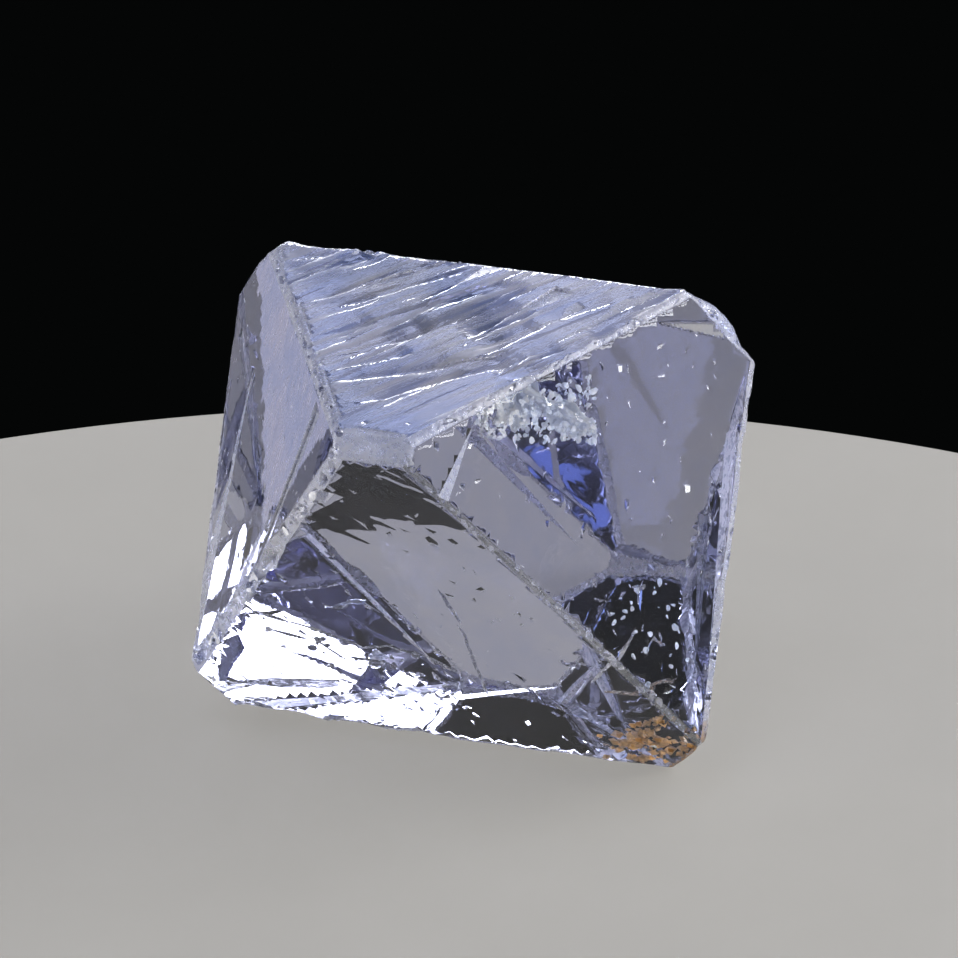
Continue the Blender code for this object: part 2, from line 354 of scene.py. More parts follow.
def add_stain(material):
    """Lets brown iron stains show in patches near the stained tip."""
    tree = material.node_tree
    base = tree.nodes["Principled BSDF"].inputs["Base Color"]
    place = add_node(tree, "ShaderNodeTexCoord").outputs["Object"]
    away = add_node(tree, "ShaderNodeVectorMath", {
        0: place, 1: tuple(x * MM for x in STAIN_CENTRE)}, operation="DISTANCE")
    near = add_node(tree, "ShaderNodeMapRange", {
        "Value": away.outputs["Value"], "From Min": STAIN_REACH * MM, "From Max": 0.6 * STAIN_REACH * MM})
    grit = add_node(tree, "ShaderNodeMapping", {
        "Vector": place, "Scale": (0.5 * MM,) * 3}, vector_type="TEXTURE")
    crumbs = add_node(tree, "ShaderNodeTexNoise", {
        "Vector": grit.outputs[0], "Scale": 1.0, "Detail": 2.0, "Roughness": 0.65})
    patchy = add_node(tree, "ShaderNodeMapRange", {
        "Value": crumbs.outputs["Fac"], "From Min": 0.36, "From Max": 0.50})
    stained = add_node(tree, "ShaderNodeMath", {
        0: near.outputs[0], 1: patchy.outputs[0]}, operation="MULTIPLY")
    ochre_share = add_node(tree, "ShaderNodeMapRange", {
        "Value": crumbs.outputs["Fac"], "From Min": 0.45, "From Max": 0.62})
    brown = add_node(tree, "ShaderNodeMix", {
        0: ochre_share.outputs[0], 6: linear(STAIN_TINTS[0]), 7: linear(STAIN_TINTS[1])}, data_type="RGBA")
    painted = add_node(tree, "ShaderNodeMix", {
        0: stained.outputs[0], 6: base.links[0].from_socket, 7: brown.outputs[2]}, data_type="RGBA")
    tree.links.new(painted.outputs[2], base)


TOP_TURN = 52.0  # degrees from the x axis, the way the steps on the top face run
clear_fluorite = fluorite_material(
    "cleaved_clear_fluorite", ("#f3f6ff", "#ffffff"), (0.0, 0.03), 0.99, 0.0012, 0.8)
streaked_fluorite = fluorite_material(
    "cleaved_streaked_fluorite", ("#a9b9ee", "#f8f6ff"), (0.02, 0.42), 0.80, 0.010, 0.30, (14, 1, 1), TOP_TURN)
veiled_fluorite = fluorite_material(
    "scratched_veiled_fluorite", ("#d2d9ff", "#e9e6ff"), (0.06, 0.30), 0.66, 0.006, 0.30, (1, 1, 6))
worn_fluorite = fluorite_material(
    "worn_frosted_fluorite", ("#dfe5ff", "#f8f7ff"), (0.16, 0.50), 0.74, 0.030, 0.25)
feathered_fluorite = fluorite_material(
    "feathered_split_fluorite", ("#f0f4ff", "#ffffff"), (0.05, 0.38), 0.90, 0.010, 0.30)
bruised_fluorite = fluorite_material(
    "bruised_fluorite", ("#dfe9ff", "#ffffff"), (0.25, 0.60), 0.25, 0.020, 0.30)
stained_fluorite = fluorite_material(
    "iron_stained_fluorite", ("#8a6642", "#e2b274"), (0.35, 0.70), 0.30, 0.030, 0.35)
add_stain(worn_fluorite)
print("kinds of fluorite surface:", len(bpy.data.materials) - 1)

# %% [markdown]
# ## Rounded edges and tips
# Handling has rounded every edge and tip a little, most of all where three faces meet. The
# rounding is one convex body: each outer plane is moved in by the radius, the corners of the
# smaller shape that this leaves each get a ball of that radius, and a skin is drawn round all
# the balls. The crystal keeps only what lies inside it.

# %% Round the edges and tips
ROUNDING = 0.35  # mm, radius
SPARE = 0.012   # mm by which the rounded body stands off the flat faces
EDGES = (
    ("top", "front_right"), ("top", "front_left"), ("top", "back_upper"),
    ("front_right", "front_lower"), ("front_left", "front_lower"), ("front_right", "back_upper"),
    ("front_left", "back_upper"), ("front_right", "back_right"), ("front_left", "back_left"),
    ("back_upper", "back_right"), ("back_upper", "back_left"), ("back_upper", "rest"),
    ("front_lower", "back_right"), ("front_lower", "back_left"), ("rest", "front_lower"),
    ("rest", "back_right"), ("rest", "back_left"),
)
TIPS = (
    (-90.0, 49.0), (-114.0, 38.0), (-68.0, 37.0), (23.0, 27.0), (26.0, 47.0), (156.0, 45.0),
    (160.0, 28.0), (-24.0, -29.0), (-27.0, -42.0), (-157.0, -28.0), (-160.0, -44.0),
    (97.0, -40.0), (78.0, -30.0),
)


def plane_frame(normal, level):
    """The frame of the outermost plane with this normal, with its u axis along level."""
    distance = (corners @ np.array(normal)).max() - CENTRE.dot(normal)
    axes = Matrix((level, normal.cross(level), normal)).transposed().to_4x4()
    return Matrix.Translation(CENTRE + normal * distance) @ axes


def finished_mesh(made):
    """The object's evaluated mesh as a plain mesh, with its modifiers removed."""
    graph = bpy.context.evaluated_depsgraph_get()
    mesh = bpy.data.meshes.new_from_object(made.evaluated_get(graph), depsgraph=graph)
    made.modifiers.clear()
    made.data = mesh
    return mesh


def cut_with(made, tools, operation="DIFFERENCE"):
    """Cuts an object with the tools in one Boolean, and removes the tools."""
    group = bpy.data.collections.new("cutters")
    for tool in tools:
        group.objects.link(tool)
    boolean = made.modifiers.new("cut", "BOOLEAN")
    boolean.operation, boolean.solver = operation, "MANIFOLD"
    boolean.operand_type, boolean.collection = "COLLECTION", group
    boolean.material_mode = "TRANSFER"
    mesh = finished_mesh(made)
    for tool in tools:
        bpy.data.objects.remove(tool)
    bpy.data.collections.remove(group)
    return mesh


def rounded_body(name, normals, distances, radius):
    """The convex body inside these planes, in mm, with all its edges rounded."""
    inner = distances - radius
    threes = np.array(list(itertools.combinations(range(len(normals)), 3)))
    threes = threes[np.abs(np.linalg.det(normals[threes])) > 0.02]
    met = np.linalg.solve(normals[threes], inner[threes][..., None])[..., 0]
    met = met[(met @ normals.T < inner + 1e-6).all(axis=1)]
    bm = bmesh.new()
    bmesh.ops.create_icosphere(bm, subdivisions=4, radius=radius)
    ball = np.array([vert.co[:] for vert in bm.verts])
    bm.clear()
    for point in (met[:, None] + ball[None]).reshape(-1, 3):
        bm.verts.new(point)
    hull = bmesh.ops.convex_hull(bm, input=bm.verts, use_existing_faces=False)
    spare = {item for item in hull["geom_interior"] + hull["geom_unused"] if isinstance(item, bmesh.types.BMVert)}
    bmesh.ops.delete(bm, geom=list(spare), context="VERTS")
    bmesh.ops.delete(bm, geom=[vert for vert in bm.verts if not vert.link_faces], context="VERTS")
    bmesh.ops.recalc_face_normals(bm, faces=bm.faces)
    bmesh.ops.scale(bm, verts=bm.verts, vec=(MM,) * 3)
    mesh = bpy.data.meshes.new(name)
    bm.to_mesh(mesh)
    bm.free()
    mesh.materials.append(worn_fluorite)
    return link_object(name, mesh)


normals_of = {face: made.col[2].xyz for face, made in frames.items()}
crystal_mesh = bpy.data.meshes.new("fluorite_crystal")
bmesh.ops.scale(cad, verts=cad.verts, vec=(MM,) * 3)
cad.to_mesh(crystal_mesh)
crystal_mesh.materials.append(worn_fluorite)
crystal = link_object("fluorite_crystal", crystal_mesh)

# %% [markdown]
# ### Two fuller tips
# The two upper tips at the back are fuller than the flat breaks of the CAD model. Each
# gets a wedge of a few tenths of a millimetre on the upper back face, held between the
# neighbouring faces, with its own rounding.

# %% Fill out the two tips
TIPS_TO_FILL = {  # neighbouring faces with their inset, points on the two wedge planes, limits, radius
    "right": ({"top": 0.015, "front_right": 0.015, "back_right": 0.015},
              (((9.08, 3.76, 17.23), (9.47, 4.11, 16.76), (5.5, 4.207, 15.5)),
               ((9.47, 4.11, 16.76), (10.09, 4.48, 15.76), (5.5, 4.207, 15.5)),
               ((10.09, 4.48, 15.76), (10.43, 4.44, 14.88), (5.5, 4.207, 15.5))),
              (((-1, 0, 0), -4.5), ((0, 0, -1), -11.0)), 0.9, 0.3),
    "left": ({"top": 0.10, "front_left": 0.03, "back_left": 0.03},
             (((-7.3, 3.45, 17.9), (-6.0, 3.68, 17.9), (-6.0, 5.268, 12.5)),
              ((-6.0, 3.68, 17.9), (-3.8, 3.33, 17.9), (-6.0, 5.268, 12.5))),
             (((1, 0, 0), -2.5), ((0, 0, -1), -12.0)), 1.8, 0.8),
}


def tip_filling(name, insets, wedges, limits, thickness, radius):
    """A rounded wedge over the upper back face at one tip."""
    back = normals_of["back_upper"]
    planes = [(normals_of[face], normals_of[face].dot(frames[face].translation) - inset)
              for face, inset in insets.items()]
    for points in wedges:
        a, b, c = (Vector(point) for point in points)
        normal = (b - a).cross(c - a).normalized()
        normal *= math.copysign(1, normal.dot(back))
        planes.append((normal, normal.dot(a)))
    planes.append((-back, thickness - back.dot(frames["back_upper"].translation)))
    planes += [(Vector(normal), distance) for normal, distance in limits]
    return rounded_body(f"filling_{name}", np.array([normal[:] for normal, _ in planes]),
                        np.array([distance for _, distance in planes]), radius)


for name, values in TIPS_TO_FILL.items():
    cut_with(crystal, [tip_filling(name, *values)], "UNION")
print("crystal with filled tips:", len(crystal.data.polygons), "faces")

# %% Round all edges and tips
outward = [normals_of[face] for face in FACES]
outward += [(normals_of[a] + normals_of[b]).normalized() for a, b in EDGES]
for angle, tilt in TIPS:
    angle, tilt = math.radians(angle), math.radians(tilt)
    outward.append(Vector((math.cos(tilt) * math.cos(angle), math.cos(tilt) * math.sin(angle), math.sin(tilt))))
outward = np.array([normal[:] for normal in outward])
filled = np.array([vert.co[:] for vert in crystal.data.vertices]) / MM
rounded = rounded_body("rounded_body", outward, (filled @ outward.T).max(axis=0) + SPARE, ROUNDING)
cut_with(crystal, [rounded], "INTERSECT")
cad.clear()
cad.from_mesh(crystal.data)
bmesh.ops.scale(cad, verts=cad.verts, vec=(1 / MM,) * 3)
cad_tree = BVHTree.FromBMesh(cad)
print("rounded crystal:", len(crystal.data.polygons), "faces")

# %% [markdown]
# ## River lines and other fine relief
# A cleaved face isn't quite one plane. The split jumps between layers a few hundredths of a
# millimetre apart, and the steps run together like the branches of a river. They could be a
# bump in the material, but real steps bend what is seen through them, so they are cut. Each
# face gets one cutter: a slab whose underside is a fine grid, pushed down from the CAD
# surface by the height of the steps. The grid's rows follow the main direction of the steps.

# %% Tools for the relief
SKIN = 0.006      # mm that a slab takes off everywhere, so that it meets no CAD face exactly
SLAB_HEIGHT = 1.5
DEEPEST = 0.48    # mm under the face plane down to which the slab follows the CAD surface
FACE_LEAN = 8.0   # degrees; parts of a face that lean more, such as its rounded rim, are left alone
WORN_REACH = 0.24 # mm below the outermost line of an edge or tip that its wear reaches
RAISED = 0.99     # mm from a ray's start, 1 mm over a face: less means that the surface is raised there
LIFT = 0.30       # mm that a slab for an edge stands off where its wear ends


def smooth(x):
    """0 below 0, 1 above 1, and an even rise between."""
    x = np.clip(x, 0.0, 1.0)
    return x * x * (3 - 2 * x)


def undulation(s, t, size_s, size_t, seed):
    """Smooth random waves from -1 to 1, with the given sizes in mm along s and t."""
    table = np.random.default_rng(seed).uniform(-1, 1, (256, 256))
    x, y = s / size_s + 97.3, t / size_t + 61.7
    i, j = np.floor(x).astype(int), np.floor(y).astype(int)
    fx, fy = smooth(x - i), smooth(y - j)
    i, j = i % 255, j % 255
    near = table[i, j] * (1 - fx) + table[i + 1, j] * fx
    far = table[i, j + 1] * (1 - fx) + table[i + 1, j + 1] * fx
    return near * (1 - fy) + far * fy


def river_line(s, t, points, height, run_out, riser=0.05):
    """A step along a line of (s, t) points: a steep riser, then a slow run back up to the face.

    A positive run_out falls back on the side of higher t, and a negative one on the other.
    """
    points = np.array(points)
    order = np.argsort(points[:, 0])
    line_s, line_t = points[order, 0], points[order, 1]
    side = math.copysign(1, run_out)
    away = (t - np.interp(s, line_s, line_t)) * side
    share = (s - line_s[0]) / (line_s[-1] - line_s[0])
    ends = smooth(share / 0.25) * smooth((1 - share) / 0.12)
    step = smooth(away / riser) * np.clip(1 - (away - riser) / abs(run_out), 0, 1)
    return height * ends * step


def relief_cutter(name, frame, turn, pitch_s, pitch_t, relief, finish, reach=None):
    """A closed slab above one face whose underside is the crystal's surface pushed down by relief(s, t).

    On a face it follows only what lies nearly level. With a reach in mm, as for an edge, it
    follows every slope down to that depth, and lifts off towards it so that it ends softly.
    """
    to_face = frame.inverted()
    local = np.array([to_face @ Vector(corner) for corner in corners])
    local = local[local[:, 2] > -DEEPEST][:, :2]
    angle = math.radians(turn)
    along, across = np.array((math.cos(angle), math.sin(angle))), np.array((-math.sin(angle), math.cos(angle)))
    s_values, t_values = local @ along, local @ across
    rows = np.arange(s_values.min() - 0.6, s_values.max() + 0.6, pitch_s)
    columns = np.arange(t_values.min() - 0.6, t_values.max() + 0.6, pitch_t)
    s, t = np.meshgrid(rows, columns, indexing="ij")
    u, v = s * along[0] + t * across[0], s * along[1] + t * across[1]
    normal = frame.col[2].xyz
    deepest = reach or DEEPEST
    least_facing = -1.0 if reach else math.cos(math.radians(FACE_LEAN))
    depth = np.zeros(s.shape)
    for index in np.ndindex(s.shape):
        start = frame @ Vector((u[index], v[index], 1.0))
        hit = cad_tree.ray_cast(start, -normal, 1.0 + deepest)
        if hit[0] is not None and (hit[1].dot(normal) > least_facing or hit[3] < RAISED):
            depth[index] = hit[3] - 1.0
        elif reach:
            depth[index] = reach
    floor = -depth - SKIN - relief(s, t, u, v)
    if reach:
        floor += LIFT * smooth(2 * depth / reach - 1)
    slab = slab_object(f"relief_{name}", frame, u, v, floor)
    slab.data.materials.append(finish)
    return slab


def slab_object(name, frame, u, v, floor):
    """Closes a grid of heights into a slab: the grid is its underside."""
    count_s, count_t = u.shape
    points = np.stack((u, v, floor), axis=-1).reshape(-1, 3)
    number = np.arange(count_s * count_t).reshape(count_s, count_t)
    quads = np.stack((number[:-1, :-1], number[:-1, 1:], number[1:, 1:], number[1:, :-1]), axis=-1)
    faces = quads.reshape(-1, 4).tolist()
    rim = [number[0, 0], number[-1, 0], number[-1, -1], number[0, -1]]
    top = len(points) + np.arange(4)
    points = np.vstack((points, [(*points[corner][:2], SLAB_HEIGHT) for corner in rim]))
    sides = (number[:, 0], number[-1, :], number[::-1, -1], number[0, ::-1])
    faces += [[*side.tolist(), int(top[(k + 1) % 4]), int(top[k])] for k, side in enumerate(sides)]
    faces.append([int(corner) for corner in top])
    mesh = bpy.data.meshes.new(name)
    mesh.from_pydata(points.tolist(), [], faces)
    mesh.transform(Matrix.Scale(MM, 4) @ frame)
    bm = bmesh.new()
    bm.from_mesh(mesh)
    bm.normal_update()
    bmesh.ops.recalc_face_normals(bm, faces=bm.faces)
    bm.to_mesh(mesh)
    bm.free()
    return link_object(name, mesh)


# %% [markdown]
# ### The steps on the top face
# The top face shows them best. They fan out from the lower left towards the upper right.
# The main ones are set down one by one, as (u, v) points on the face, with a height and a
# run-out. Finer ones fill in between them at random.

# %% Cut the top face
TOP_LINES = (
    ([(-7.4, 1.9), (-6.2, 2.5), (-5.2, 3.5)], 0.05, 1.2),
    ([(-7.0, 0.9), (-6.3, 1.4), (-5.4, 2.5)], 0.04, 1.0),
    ([(-5.1, 1.6), (-4.2, 2.2), (-3.4, 3.4)], 0.04, 1.2),
    ([(-5.7, -0.9), (-4.6, 0.1), (-2.9, 2.0), (-1.5, 3.1)], 0.06, 1.6),
    ([(-5.5, -1.4), (-3.8, -0.5), (-2.5, 0.7), (-0.2, 2.9)], 0.05, 1.4),
    ([(-4.8, -1.9), (-2.9, 0.0)], 0.04, 1.2),
    ([(-3.6, -3.0), (-2.6, -1.5)], 0.05, 1.4),
    ([(-1.6, 0.0), (-0.7, 1.2), (0.3, 3.3)], 0.07, 1.6),
    ([(-2.2, -2.3), (-1.3, -0.9), (-0.7, 0.1)], 0.05, 1.5),
    ([(-2.9, -4.4), (-2.0, -3.2), (-0.8, -2.3), (-0.2, -1.3)], 0.10, 2.0),
    ([(-3.3, -5.3), (-0.4, -3.4)], 0.05, 1.6),
    ([(-3.0, -6.1), (-1.3, -5.3), (0.2, -4.5), (1.6, -3.5)], 0.06, 1.8),
    ([(-1.9, -7.4), (-0.6, -6.7), (0.3, -5.6), (2.1, -4.2)], 0.06, 1.6),
    ([(-0.7, -7.5), (0.3, -6.2), (1.0, -5.4), (1.9, -4.2)], 0.04, 1.2),
    ([(1.2, -2.0), (1.8, -0.8), (2.5, 0.5)], 0.12, 1.8),
    ([(1.4, -2.2), (2.1, -1.0), (3.2, 0.4)], 0.07, 1.6),
    ([(2.1, -3.1), (3.8, -0.6)], 0.07, 1.4),
    ([(3.0, -4.2), (3.8, -2.8)], 0.07, 1.2),
    ([(4.1, -2.9), (5.0, -1.9)], 0.07, 1.2),
    ([(6.1, -1.1), (6.8, -0.4)], 0.06, 1.2),
    ([(3.8, -0.4), (6.0, 1.7)], 0.03, 1.6),
    ([(6.9, 1.3), (8.0, 2.8)], 0.04, 1.4),
    ([(1.1, 0.7), (1.9, 2.0)], 0.06, 1.2),
    ([(1.0, 2.0), (1.8, 3.1)], 0.05, 1.2),
    ([(3.0, -4.9), (5.5, -2.9), (6.9, -0.6), (8.2, 2.4)], 0.06, 1.0),
)
TOP_BOLDNESS = 1.5
TOP_FINE_LINES = 90


def turned_points(points, turn):
    """(u, v) points as (s, t) ones, with s along the steps."""
    angle = math.radians(turn)
    return [(u * math.cos(angle) + v * math.sin(angle), v * math.cos(angle) - u * math.sin(angle))
            for u, v in points]


def fine_lines(s, t, count, seed, reach_s, reach_t, heights, lengths, run_outs=(0.8, 2.2)):
    """Short straight steps at random places, all near the main direction."""
    chance = np.random.default_rng(seed)
    total = np.zeros(s.shape)
    for _ in range(count):
        middle_s, middle_t = chance.uniform(*reach_s), chance.uniform(*reach_t)
        half = chance.uniform(*lengths) / 2
        slope = chance.normal(0.0, 0.06)
        ends = [(middle_s - half, middle_t - half * slope), (middle_s + half, middle_t + half * slope)]
        run_out = chance.uniform(*run_outs) * chance.choice((-1, 1))
        total += river_line(s, t, ends, chance.uniform(*heights), run_out, 0.05)
    return total


def top_relief(s, t, u, v):
    """The steps of the top face in mm below it."""
    total = np.zeros(s.shape)
    for points, height, run_out in TOP_LINES:
        wander = 0.05 * undulation(s, t * 0, 0.45, 1.0, int(height * 1000))
        total += river_line(s, t + wander, turned_points(points, TOP_TURN), TOP_BOLDNESS * height, run_out)
    total += fine_lines(s, t, TOP_FINE_LINES, 5, (-9, 9), (-7, 7), (0.008, 0.035), (1.0, 5.0))
    return total + 0.003 * (1 + undulation(s, t, 2.2, 0.9, 3))


cutters = [relief_cutter("top", frames["top"], TOP_TURN, 0.22, 0.05, top_relief, streaked_fluorite)]
print("top face cutter:", len(cutters[0].data.polygons), "faces")

# %% [markdown]
# ### The other faces
# The other faces are smoother. Each gets a faint waviness and a few fine steps. The upper
# back face is seen through the front, and its upper rim is full of small steps.

# %% Cut the other faces
OTHER_FACES = {  # turn of the steps, how many, their heights and lengths in mm, waviness, seed
    "front_right": (64.0, 6, (0.004, 0.010), (1.5, 5.0), 0.0030, 21),
    "front_left": (82.0, 14, (0.006, 0.020), (1.0, 4.0), 0.0040, 22),
    "front_lower": (-52.0, 8, (0.004, 0.010), (1.0, 4.0), 0.0030, 23),
    "back_upper": (30.0, 10, (0.004, 0.010), (1.0, 4.0), 0.0030, 24),
    "back_right": (-20.0, 40, (0.010, 0.050), (1.5, 6.0), 0.0060, 25),
    "back_left": (50.0, 8, (0.004, 0.010), (1.5, 5.0), 0.0030, 26),
    "rest": (15.0, 8, (0.004, 0.010), (1.0, 4.0), 0.0030, 27),
}


def other_relief(count, heights, lengths, waviness, seed):
    """The relief of one of the smoother faces, as a function for the cutter."""
    def relief(s, t, u, v):
        lines = fine_lines(s, t, count, seed, (-10, 10), (-9, 9), heights, lengths)
        return lines + waviness * (1 + undulation(s, t, 1.8, 1.3, seed))
    return relief


def upper_back_relief(plain):
    """The plain relief with a patch of crossing small steps near the upper rim, on one half."""
    def relief(s, t, u, v):
        patch = smooth((v + 1.5) / 0.8) * smooth((u + 0.2) / 0.8)
        steps = fine_lines(s, t, 46, 61, (-2, 9), (-7, 6), (0.008, 0.030), (1.0, 4.0))
        crossing = fine_lines(t, s, 26, 62, (-7, 6), (-2, 9), (0.008, 0.024), (0.8, 3.0))
        return plain(s, t, u, v) + patch * (steps + crossing)
    return relief


def clear_lower_part(slab):
    """The left face is veiled at its top and middle alone: its low and back parts are clear."""
    slab.data.materials.append(clear_fluorite)
    to_face = frames["front_left"].inverted() @ Matrix.Scale(1 / MM, 4)
    for polygon in slab.data.polygons:
        u, v, _ = to_face @ polygon.center
        wander = 0.5 * undulation(np.array([u]), np.array([v]), 0.7, 0.7, 28)[0]
        low = v < 0.85 - 0.62 * u + wander or (u > 2.28 and v < 1.65 * (u - 2.28) - 0.45 + wander)
        polygon.material_index = int(low)


for face, (turn, count, heights, lengths, waviness, seed) in OTHER_FACES.items():
    relief = other_relief(count, heights, lengths, waviness, seed)
    if face == "back_upper":
        relief = upper_back_relief(relief)
    finish = veiled_fluorite if face == "front_left" else clear_fluorite
    pitch = (0.16, 0.10) if face == "back_upper" else (0.30, 0.12) if count > 12 else (0.45, 0.25)
    cutter = relief_cutter(face, frames[face], turn, *pitch, relief, finish)
    if face == "front_left":
        clear_lower_part(cutter)
    cutters.append(cutter)
print("faces of all relief cutters:", sum(len(cutter.data.polygons) for cutter in cutters))

# %% [markdown]
# ### Worn edges and broken tips
# Along its edges the crystal is worn and nicked: the CAD model has a flat, narrow strip
# there, and a flat patch at each tip. The same kind of cutter roughens them. Its waves are
# longer along an edge than across it, and here and there it bites deeper.

# %% Roughen the edges and tips
def worn_relief(bite, seed):
    """Waves that are long along an edge, with a deeper bite here and there."""
    def relief(s, t, u, v):
        waves = 0.020 * (1 + undulation(s, t, 0.7, 0.35, seed)) + 0.010 * (1 + undulation(s, t, 0.22, 0.15, seed + 1))
        return waves + bite * np.clip(undulation(s, t * 0, 1.3, 1.0, seed + 2) - 0.25, 0, 1)
    return relief


CRISP_EDGES = {  # reach of the wear in mm
    ("front_right", "front_lower"): 0.08,
    ("top", "front_right"): 0.17,
    ("front_left", "front_lower"): 0.12,
    ("back_upper", "back_right"): 0.08,
    ("back_upper", "back_left"): 0.08,
    ("back_upper", "rest"): 0.08,
}


for index, (face_a, face_b) in enumerate(EDGES):
    normal_a, normal_b = normals_of[face_a], normals_of[face_b]
    frame_here = plane_frame((normal_a + normal_b).normalized(), normal_a.cross(normal_b).normalized())
    name, reach = f"{face_a}_{face_b}", CRISP_EDGES.get((face_a, face_b), WORN_REACH)
    relief = worn_relief(0.66 * reach, 40 + 3 * index)
    finish = feathered_fluorite if reach < 0.1 else worn_fluorite
    cutters.append(relief_cutter(name, frame_here, 0.0, 0.10, 0.07, relief, finish, reach))
for index, (angle, tilt) in enumerate(TIPS):
    angle, tilt = math.radians(angle), math.radians(tilt)
    normal = Vector((math.cos(tilt) * math.cos(angle), math.cos(tilt) * math.sin(angle), math.sin(tilt)))
    frame_here = plane_frame(normal, Vector((-math.sin(angle), math.cos(angle), 0)))
    cutters.append(relief_cutter(f"tip_{index}", frame_here, 25.0, 0.10, 0.08, worn_relief(0.10, 140 + 3 * index), worn_fluorite, WORN_REACH))
print("cutters for faces, edges and tips:", len(cutters))

# %% [markdown]
# ## Nicks along the edges
# Every knock splits a small flake off an edge. There are hundreds of these nicks, all of
# one kind, so Geometry Nodes set them out: points along each edge, a small lump on each
# point, turned and sized at random. The lumps are then cut out of the crystal.

# %% Nick the edges
def socket(tree, name, kind, default=None):
    """Adds a named input to a Geometry Nodes tree."""
    made = tree.interface.new_socket(name=name, in_out="INPUT", socket_type=kind)
    if default is not None:
        made.default_value = default
    return made


def new_geometry_tree(name, inputs):
    """A tree with a geometry input and output and these named inputs, and its input node."""
    tree = bpy.data.node_groups.new(name, "GeometryNodeTree")
    socket(tree, "Geometry", "NodeSocketGeometry")
    for key, (kind, default) in inputs.items():
        socket(tree, key, kind, default)
    tree.interface.new_socket(name="Geometry", in_out="OUTPUT", socket_type="NodeSocketGeometry")
    return tree, add_node(tree, "NodeGroupInput").outputs


def finish_tree(tree, instances, material):
    """Ends a tree in Realize Instances and Set Material."""
    real = add_node(tree, "GeometryNodeRealizeInstances", {"Geometry": instances})
    painted = add_node(tree, "GeometryNodeSetMaterial", {"Geometry": real.outputs[0], "Material": material})
    add_node(tree, "NodeGroupOutput", {"Geometry": painted.outputs[0]})


def run_tree(made, tree, values):
    """Puts a tree on an object with these input values, and keeps the result as its mesh."""
    modifier = made.modifiers.new(tree.name, "NODES")
    modifier.node_group = tree
    for item in tree.interface.items_tree:
        if item.in_out == "INPUT" and item.name in values:
            modifier[item.identifier] = values[item.name]
    finished_mesh(made)
    return made


def edge_line(face_a, face_b):
    """Both ends in mm of the worn edge between two faces."""
    planes = {face: (frames[face].col[2].xyz, frames[face].translation) for face in FACES}
    normal_a, normal_b = planes[face_a][0], planes[face_b][0]
    along = normal_a.cross(normal_b).normalized()
    rows = Matrix((normal_a, normal_b, along))
    middle = rows.inverted() @ Vector((normal_a.dot(planes[face_a][1]), normal_b.dot(planes[face_b][1]), 0))
    low, high = -60.0, 60.0
    for face, (normal, point) in planes.items():
        slope, room = normal.dot(along), normal.dot(point - middle)
        if face in (face_a, face_b) or abs(slope) < 1e-6:
            continue
        low, high = (low, min(high, room / slope)) if slope > 0 else (max(low, room / slope), high)
    outward = (normal_a + normal_b).normalized()
    worn = outward.dot(middle) - (corners @ np.array(outward)).max()
    return [middle + along * end - outward * worn for end in (low, high)]


def nicks_tree():
    """Lumps along the edges of a mesh that holds only lines."""
    tree, given = new_geometry_tree("nicks_along_edges", {
        "Spacing": ("NodeSocketFloat", 0.5), "Spread": ("NodeSocketFloat", 0.1),
        "Smallest": ("NodeSocketFloat", 0.1), "Largest": ("NodeSocketFloat", 0.3),
        "Stretch": ("NodeSocketFloat", 1.8), "Seed": ("NodeSocketInt", 1),
        "Material": ("NodeSocketMaterial", None)})
    curves = add_node(tree, "GeometryNodeMeshToCurve", {"Mesh": given["Geometry"]})
    points = add_node(tree, "GeometryNodeCurveToPoints", {
        "Curve": curves.outputs[0], "Length": given["Spacing"]}, mode="LENGTH")
    low = add_node(tree, "ShaderNodeVectorMath", {0: (-1, -1, -1), "Scale": given["Spread"]}, operation="SCALE")
    high = add_node(tree, "ShaderNodeVectorMath", {0: (1, 1, 1), "Scale": given["Spread"]}, operation="SCALE")
    stray = add_node(tree, "FunctionNodeRandomValue", {
        0: low.outputs[0], 1: high.outputs[0], "Seed": given["Seed"]}, data_type="FLOAT_VECTOR")
    moved = add_node(tree, "GeometryNodeSetPosition", {
        "Geometry": points.outputs["Points"], "Offset": stray.outputs[0]})
    lump = add_node(tree, "GeometryNodeMeshUVSphere", {"Segments": 4, "Rings": 2, "Radius": 1.0})
    size = add_node(tree, "FunctionNodeRandomValue", {
        2: given["Smallest"], 3: given["Largest"], "Seed": given["Seed"]}, data_type="FLOAT")
    longer = add_node(tree, "ShaderNodeMath", {0: size.outputs[1], 1: given["Stretch"]}, operation="MULTIPLY")
    scale = add_node(tree, "ShaderNodeCombineXYZ", {
        "X": size.outputs[1], "Y": size.outputs[1], "Z": longer.outputs[0]})
    turn = add_node(tree, "FunctionNodeRandomValue", {
        0: (-0.6, -0.6, -3.1), 1: (0.6, 0.6, 3.1), "Seed": given["Seed"]}, data_type="FLOAT_VECTOR")
    rotation = add_node(tree, "FunctionNodeRotateRotation", {
        "Rotation": points.outputs["Rotation"], "Rotate By": turn.outputs[0]}, rotation_space="LOCAL")
    instances = add_node(tree, "GeometryNodeInstanceOnPoints", {
        "Points": moved.outputs[0], "Instance": lump.outputs[0],
        "Rotation": rotation.outputs[0], "Scale": scale.outputs[0]})
    finish_tree(tree, instances.outputs[0], given["Material"])
    return tree


